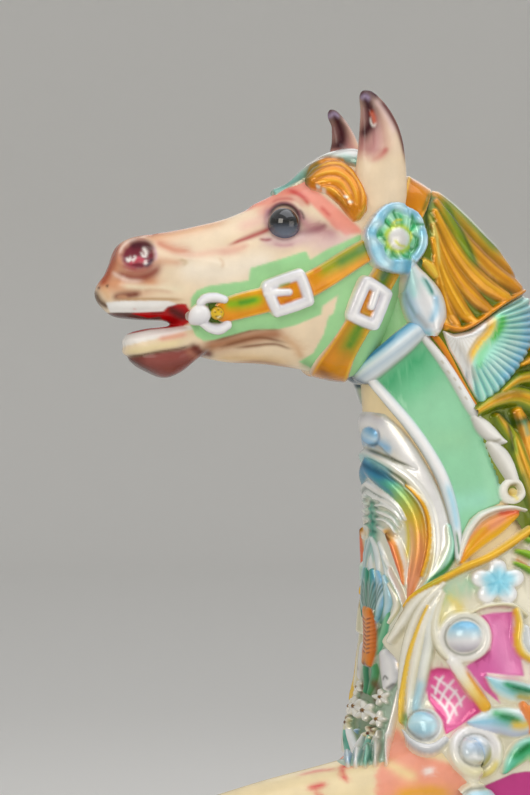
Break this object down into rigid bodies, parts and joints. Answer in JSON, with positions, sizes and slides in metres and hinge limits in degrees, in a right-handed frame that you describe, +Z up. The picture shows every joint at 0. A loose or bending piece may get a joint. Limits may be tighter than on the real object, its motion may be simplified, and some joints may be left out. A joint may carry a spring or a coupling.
{
  "type": "carousel horse on its pole (galloper)",
  "caption": "Carved and painted carousel horse in full gallop on a twisted brass pole, with bridle, neck ribbon and saddle; the pole slides up and down in a guide on the platform.",
  "frame": {"origin": "on the pole's axis, at the underside of the floor flange", "axes": "+Z up along the pole, the horse faces -X, its left side is -Y"},
  "size_m": [1.4277, 0.45, 2.166],
  "materials": {
    "horse_skin": "cream gloss enamel with airbrushed pink and brown, varnished",
    "hoof": "black-brown gloss enamel",
    "gold_hair": "gold-orange translucent enamel with green valleys, varnished",
    "gold_strap": "gold-orange enamel with green edges, varnished",
    "silver_ornament": "blue, teal, green and yellow tints over silver leaf, varnished",
    "glass_eye": "black glass",
    "white_enamel": "white gloss enamel",
    "mint_ribbon": "mint green gloss enamel with white edges",
    "magenta_harness": "magenta panels with silver, blue and gold carved ornament, varnished",
    "saddle_cloth": "magenta gloss enamel with gold edging",
    "saddle": "tan-brown gloss enamel",
    "brass": "twisted tube, polished and aged",
    "steel": "turned, greased",
    "black_iron": "black gloss paint"
  },
  "bodies": {
    "platform_guide": {"floor_flange": "black_iron", "guide_tube": "steel"},
    "galloper": {"body": "horse_skin", "neck": "horse_skin", "head": "horse_skin", "lower_jaw": "horse_skin", "left_ear": "horse_skin", "right_ear": "horse_skin", "left_foreleg": "horse_skin", "right_foreleg": "horse_skin", "left_hind_leg": "horse_skin", "right_hind_leg": "horse_skin", "left_forehoof": "hoof", "right_forehoof": "hoof", "left_hind_hoof": "hoof", "right_hind_hoof": "hoof", "mane": "gold_hair", "tail": "gold_hair", "forelock": "gold_hair", "throat_strap": "gold_strap", "crown_strap": "gold_strap", "left_cheek_strap": "gold_strap", "right_cheek_strap": "gold_strap", "girth": "gold_strap", "left_rosette": "silver_ornament", "right_rosette": "silver_ornament", "left_shell": "silver_ornament", "right_shell": "silver_ornament", "neck_drapery": "silver_ornament", "chest_garland": "silver_ornament", "left_eye": "glass_eye", "right_eye": "glass_eye", "left_bit_end": "white_enamel", "right_bit_end": "white_enamel", "left_neck_ribbon": "mint_ribbon", "right_neck_ribbon": "mint_ribbon", "left_breast_collar": "magenta_harness", "right_breast_collar": "magenta_harness", "saddle_cloth": "saddle_cloth", "saddle": "saddle", "twisted_pole": "brass", "foot_rest_bar": "brass", "steel_spigot": "steel", "hanger_plate": "black_iron"}
  },
  "joints": [
    {"name": "gallop", "type": "slide", "parent": "platform_guide", "child": "galloper", "axis": [0, 0, 1], "range_m": [-0.15, 0.15]}
  ]
}
